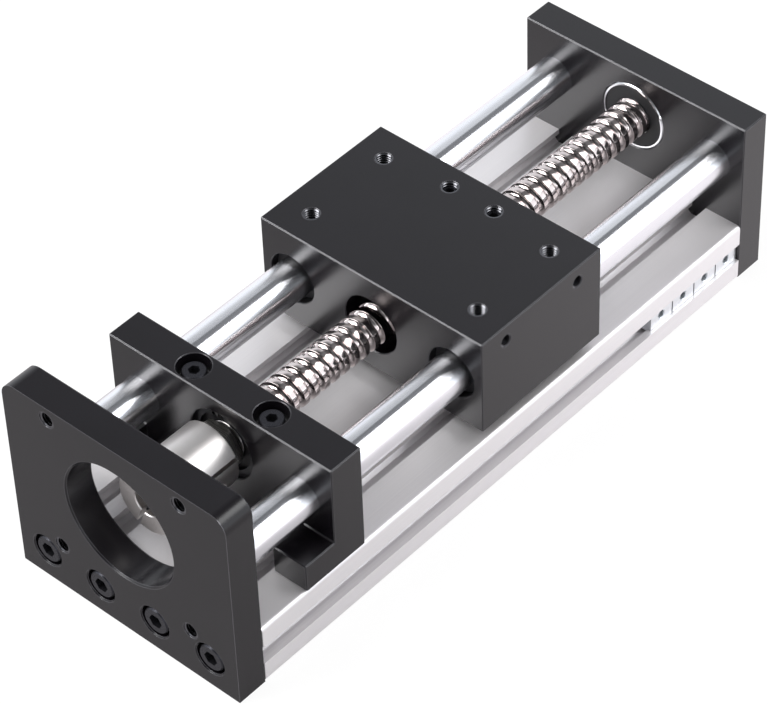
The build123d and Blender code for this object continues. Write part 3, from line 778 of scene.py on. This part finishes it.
def unlit_end(tree, direction):
    """UNLIT_LEVEL where the direction dotted with UNLIT_DIRECTION is past UNLIT_EDGE, or 1."""
    toward_end = add_node(
        tree, "ShaderNodeVectorMath", {0: direction, 1: UNLIT_DIRECTION},
        operation="DOT_PRODUCT",
    )
    return add_node(
        tree, "ShaderNodeMapRange",
        {"Value": toward_end.outputs["Value"],
         "From Min": UNLIT_EDGE[0], "From Max": UNLIT_EDGE[1],
         "To Min": 1.0, "To Max": UNLIT_LEVEL},
        interpolation_type="SMOOTHSTEP",
    ).outputs["Result"]


def near_wall(tree, place):
    """NEAR_WALL_GAIN where Y is past NEAR_WALL_EDGE, or 1."""
    return add_node(
        tree, "ShaderNodeMapRange",
        {"Value": place["Y"], "From Min": NEAR_WALL_EDGE[0], "From Max": NEAR_WALL_EDGE[1],
         "To Min": 1.0, "To Max": NEAR_WALL_GAIN},
        interpolation_type="SMOOTHSTEP",
    ).outputs["Result"]


# %% [markdown]
# The darker of ceiling and strip counts, and all the other levels are multiplied. Light Path
# says what kind of ray is asking. The camera sees plain white, a mirror sees the shaped room,
# and a matt surface gets the same plain light from everywhere, so the levels above can be chosen
# for what the mirrors show and for nothing else.

# %% Room that is white to the camera, shaped light to mirrors, and plain light to the rest
ROOM_LEVEL = 0.93
SKY_TINT = (0.92, 0.955, 1.0, 1.0)


def shaped_room(tree):
    """Product of the levels of far wall, ceiling or strip, unlit end and near wall."""
    direction = add_node(tree, "ShaderNodeTexCoord").outputs["Generated"]
    place = add_node(tree, "ShaderNodeSeparateXYZ", {"Vector": direction}).outputs
    overhead = add_node(
        tree, "ShaderNodeMath", {0: grey_ceiling(tree, place), 1: grey_strip(tree, place)},
        operation="MINIMUM",
    ).outputs["Value"]
    level = far_wall(tree, place)
    for factor in (overhead, unlit_end(tree, direction), near_wall(tree, place)):
        level = add_node(
            tree, "ShaderNodeMath", {0: level, 1: factor}, operation="MULTIPLY"
        ).outputs["Value"]
    return level


def studio_world():
    """White to the camera, the shaped room to mirrors and ROOM_LEVEL to matt surfaces."""
    world = bpy.data.worlds.new("studio")
    bpy.context.scene.world = world
    world.use_nodes = True
    tree = world.node_tree
    tree.nodes.clear()
    ray = add_node(tree, "ShaderNodeLightPath").outputs
    seen = add_node(
        tree, "ShaderNodeMath", {0: ray["Is Camera Ray"], 1: ray["Is Transmission Ray"]},
        operation="MAXIMUM",
    ).outputs["Value"]
    mirrored = add_node(
        tree, "ShaderNodeMath", {0: shaped_room(tree), 1: ray["Is Glossy Ray"]},
        operation="MULTIPLY",
    ).outputs["Value"]
    matt = add_node(
        tree, "ShaderNodeMath", {0: 1.0, 1: ray["Is Glossy Ray"]}, operation="SUBTRACT"
    ).outputs["Value"]
    light = add_node(
        tree, "ShaderNodeMath", {0: matt, 1: ROOM_LEVEL, 2: mirrored}, operation="MULTIPLY_ADD"
    ).outputs["Value"]
    strength = add_node(tree, "ShaderNodeMath", {0: seen, 1: light}, operation="MAXIMUM")
    tint = add_node(
        tree, "ShaderNodeMix",
        {"Factor": ray["Is Glossy Ray"], 6: (1.0, 1.0, 1.0, 1.0), 7: SKY_TINT},
        data_type="RGBA",
    )
    back = add_node(
        tree, "ShaderNodeBackground",
        {"Color": tint.outputs[2], "Strength": strength.outputs["Value"]},
    )
    add_node(tree, "ShaderNodeOutputWorld", {"Surface": back.outputs["Background"]})


studio_world()
print("room: walls", WALL_LEVEL, "ceiling", CEILING_LEVEL, "plain light", ROOM_LEVEL)

# %% Soft lights
def soft_light(name, place, target, width, height, power):
    """A rectangular light at a place in millimetres that looks at a target, power in watts."""
    lamp = bpy.data.lights.new(name, "AREA")
    lamp.shape = "RECTANGLE"
    lamp.size = width * MM
    lamp.size_y = height * MM
    lamp.energy = power
    light = bpy.data.objects.new(name, lamp)
    bpy.context.scene.collection.objects.link(light)
    aim = Vector(target) - Vector(place)
    turn = aim.to_track_quat("-Z", "Y").to_matrix().to_4x4()
    light.matrix_world = Matrix.Translation(Vector(place) * MM) @ turn
    print(name, width, "x", height, "mm,", round(aim.length), "mm from its target")


soft_light("key_over_near_side", place=(360, -375, 585), target=(30, -32, -11),
           width=430, height=400, power=2.3)
soft_light("fill_from_motor_end", place=(-430, 403, 610), target=(0, 0, 30),
           width=600, height=600, power=8.0)

# %% [markdown]
# ## Floor
#
# The table stands on white card. Its colour is white to the camera, so that it has no edge,
# and a share of it still takes light as card does, which keeps the soft shadow below the base.
# To mirrors the card gets darker toward the motor end, as it does in front of the lit area, so
# the black fronts that face it stay dark.

# %% What the camera and the mirrors see of the card
CARD_AT_MOTOR_END = 0.42
CARD_AT_FAR_END = 1.1
CARD_FALLOFF = (-130.0 * MM, 140.0 * MM)
CARD_TINT = (1.0, 0.955, 0.985, 1.0)


def card_glow(tree, place, ray):
    """Even white light to the camera; to mirrors a tint whose level grows along X."""
    along = add_node(tree, "ShaderNodeSeparateXYZ", {"Vector": place}).outputs["X"]
    falloff = add_node(
        tree, "ShaderNodeMapRange",
        {"Value": along, "From Min": CARD_FALLOFF[0], "From Max": CARD_FALLOFF[1],
         "To Min": CARD_AT_MOTOR_END, "To Max": CARD_AT_FAR_END},
        interpolation_type="SMOOTHSTEP",
    ).outputs["Result"]
    level = add_node(
        tree, "ShaderNodeMix", {"Factor": ray["Is Glossy Ray"], 2: 1.0, 3: falloff},
        data_type="FLOAT",
    ).outputs[0]
    tint = add_node(
        tree, "ShaderNodeMix",
        {"Factor": ray["Is Glossy Ray"], 6: (1.0, 1.0, 1.0, 1.0), 7: CARD_TINT},
        data_type="RGBA",
    )
    return add_node(
        tree, "ShaderNodeEmission", {"Color": tint.outputs[2], "Strength": level}
    ).outputs["Emission"]


# %% White card
CARD_FIBRE = 0.6 * MM
SHADOW_SHARE = 0.12


def white_card():
    """Matt card to matt surfaces; to camera and mirrors SHADOW_SHARE of it, the rest glow."""
    material, tree, place = new_material("white_card")
    fibre = add_node(
        tree, "ShaderNodeTexNoise", {"Vector": place, "Scale": 1 / CARD_FIBRE, "Detail": 3.0}
    )
    colour = add_node(
        tree, "ShaderNodeMix",
        {"Factor": fibre.outputs["Fac"], 6: linear("f4f4f4"), 7: linear("fafafa")},
        data_type="RGBA",
    )
    card = add_node(tree, "ShaderNodeBsdfDiffuse", {"Color": colour.outputs[2]})
    ray = add_node(tree, "ShaderNodeLightPath").outputs
    seen = add_node(
        tree, "ShaderNodeMath", {0: ray["Is Camera Ray"], 1: ray["Is Glossy Ray"]},
        operation="MAXIMUM",
    ).outputs["Value"]
    seen = add_node(
        tree, "ShaderNodeMath", {0: seen, 1: ray["Is Transmission Ray"]}, operation="MAXIMUM"
    ).outputs["Value"]
    share = add_node(
        tree, "ShaderNodeMath", {0: seen, 1: 1.0 - SHADOW_SHARE}, operation="MULTIPLY"
    ).outputs["Value"]
    mixed = add_node(
        tree, "ShaderNodeMixShader",
        {"Fac": share, 1: card.outputs["BSDF"], 2: card_glow(tree, place, ray)},
    )
    add_node(tree, "ShaderNodeOutputMaterial", {"Surface": mixed.outputs["Shader"]})
    return material


# %% The floor itself
FLOOR_HALF = 1.6

floor_mesh = bpy.data.meshes.new("floor")
corners = [(-FLOOR_HALF, -FLOOR_HALF, 0), (FLOOR_HALF, -FLOOR_HALF, 0),
           (FLOOR_HALF, FLOOR_HALF, 0), (-FLOOR_HALF, FLOOR_HALF, 0)]
floor_mesh.from_pydata(corners, [], [(0, 1, 2, 3)])
floor = bpy.data.objects.new("floor", floor_mesh)
bpy.context.scene.collection.objects.link(floor)
dress(floor, white_card())
print("floor", 2 * FLOOR_HALF, "m wide")

# %% [markdown]
# ## Camera
#
# The picture was taken from above the motor end with a long lens, about 171 mm on a 36 mm
# sensor, from a little over a metre. The camera's place and turn follow from the straight
# edges of the plates and the base, which meet at known corners.

# %% Camera at the picture's viewing angle, its place in millimetres
CAMERA_PLACE = (-537.59, -495.52, 726.47)
CAMERA_AZIMUTH = math.radians(-46.9)
CAMERA_ELEVATION = math.radians(44.0)
CAMERA_ROLL = math.radians(-2.27)
LENS = 171.3
SENSOR_WIDTH = 36.0

# Back points from the table to the camera, right is level, and the roll turns right and up
# about back.
flat_part = math.cos(CAMERA_ELEVATION)
back = Vector((math.sin(CAMERA_AZIMUTH) * flat_part, -math.cos(CAMERA_AZIMUTH) * flat_part,
               math.sin(CAMERA_ELEVATION)))
right = Vector((math.cos(CAMERA_AZIMUTH), math.sin(CAMERA_AZIMUTH), 0.0))
up = back.cross(right)
rolled_right = right * math.cos(CAMERA_ROLL) + up * math.sin(CAMERA_ROLL)
rolled_up = up * math.cos(CAMERA_ROLL) - right * math.sin(CAMERA_ROLL)

camera_data = bpy.data.cameras.new("camera")
camera_data.lens = LENS
camera_data.sensor_width = SENSOR_WIDTH
camera_data.clip_start = 0.05
camera_data.clip_end = 20.0
camera = bpy.data.objects.new("camera", camera_data)
bpy.context.scene.collection.objects.link(camera)
turn = Matrix((rolled_right, rolled_up, back)).transposed().to_4x4()
camera.matrix_world = Matrix.Translation(Vector(CAMERA_PLACE) * MM) @ turn
bpy.context.scene.camera = camera
bpy.context.scene.view_settings.view_transform = "Standard"
print("camera", round(Vector(CAMERA_PLACE).length), "mm from the middle of the base")
